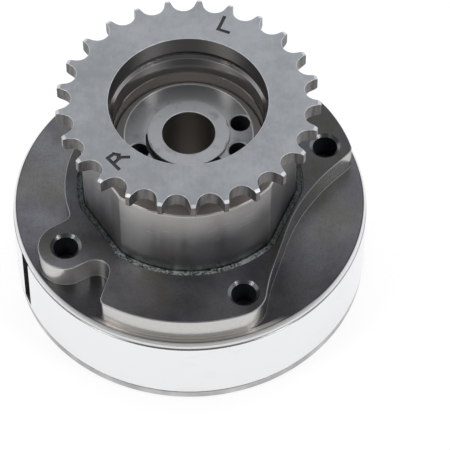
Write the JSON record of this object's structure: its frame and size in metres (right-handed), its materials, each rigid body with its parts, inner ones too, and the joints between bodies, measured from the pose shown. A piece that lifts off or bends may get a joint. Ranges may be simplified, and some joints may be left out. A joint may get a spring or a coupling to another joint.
{
  "type": "cam phaser",
  "caption": "Chain-driven vane cam phaser: toothed ring on a hollow neck, lobed rear plate, polished stator ring, vane rotor with a spring-loaded lock pin.",
  "frame": {"origin": "centre of the front cover's outer face, which the phaser stands on", "axes": "+Z along the phaser's axis towards the camshaft and the sprocket; +Y away from the picture's camera"},
  "size_m": [0.0944, 0.0944, 0.0671],
  "materials": {
    "matt_steel": "matt blue-grey blasted steel",
    "turned_steel": "fine turned steel, satin",
    "braze": "rough greenish-grey braze",
    "sintered_steel": "dark mottled sintered steel",
    "polished_steel": "ground and polished",
    "cover_steel": "plain machined steel",
    "rotor_steel": "turned, circular tool marks",
    "black_steel": "black oxide",
    "hard_steel": "hardened and ground",
    "seal_polymer": "filled polymer, matt",
    "spring_steel": "bright spring steel"
  },
  "bodies": {
    "housing": {"front_cover": "cover_steel", "stator": "polished_steel", "rear_plate": "sintered_steel", "sprocket_neck": "turned_steel", "neck_braze": "braze", "drive_sprocket": "matt_steel", "cover_screw_1": "black_steel", "cover_screw_2": "black_steel", "cover_screw_3": "black_steel", "cover_screw_4": "black_steel", "locating_dowel": "hard_steel", "lock_bush": "cover_steel"},
    "rotor": {"rotor": "rotor_steel", "vane_seal_1": "seal_polymer", "vane_seal_2": "seal_polymer", "vane_seal_3": "seal_polymer", "vane_seal_4": "seal_polymer", "seal_spring_1": "spring_steel", "seal_spring_2": "spring_steel", "seal_spring_3": "spring_steel", "seal_spring_4": "spring_steel", "lock_plug": "hard_steel", "lock_spring": "spring_steel"},
    "lock_pin": {"lock_pin": "hard_steel"}
  },
  "joints": [
    {"name": "cam_phasing", "type": "hinge", "parent": "housing", "child": "rotor", "pos_m": [0, 0, 0.03], "axis": [0, 0, 1], "range_deg": [0, 25]},
    {"name": "lock_pin_slide", "type": "slide", "parent": "rotor", "child": "lock_pin", "axis": [0, 0, 1], "range_m": [0, 0.0035], "stiffness_N_per_m": 400, "springref_m": -0.004, "deforming": ["lock_spring"]}
  ]
}
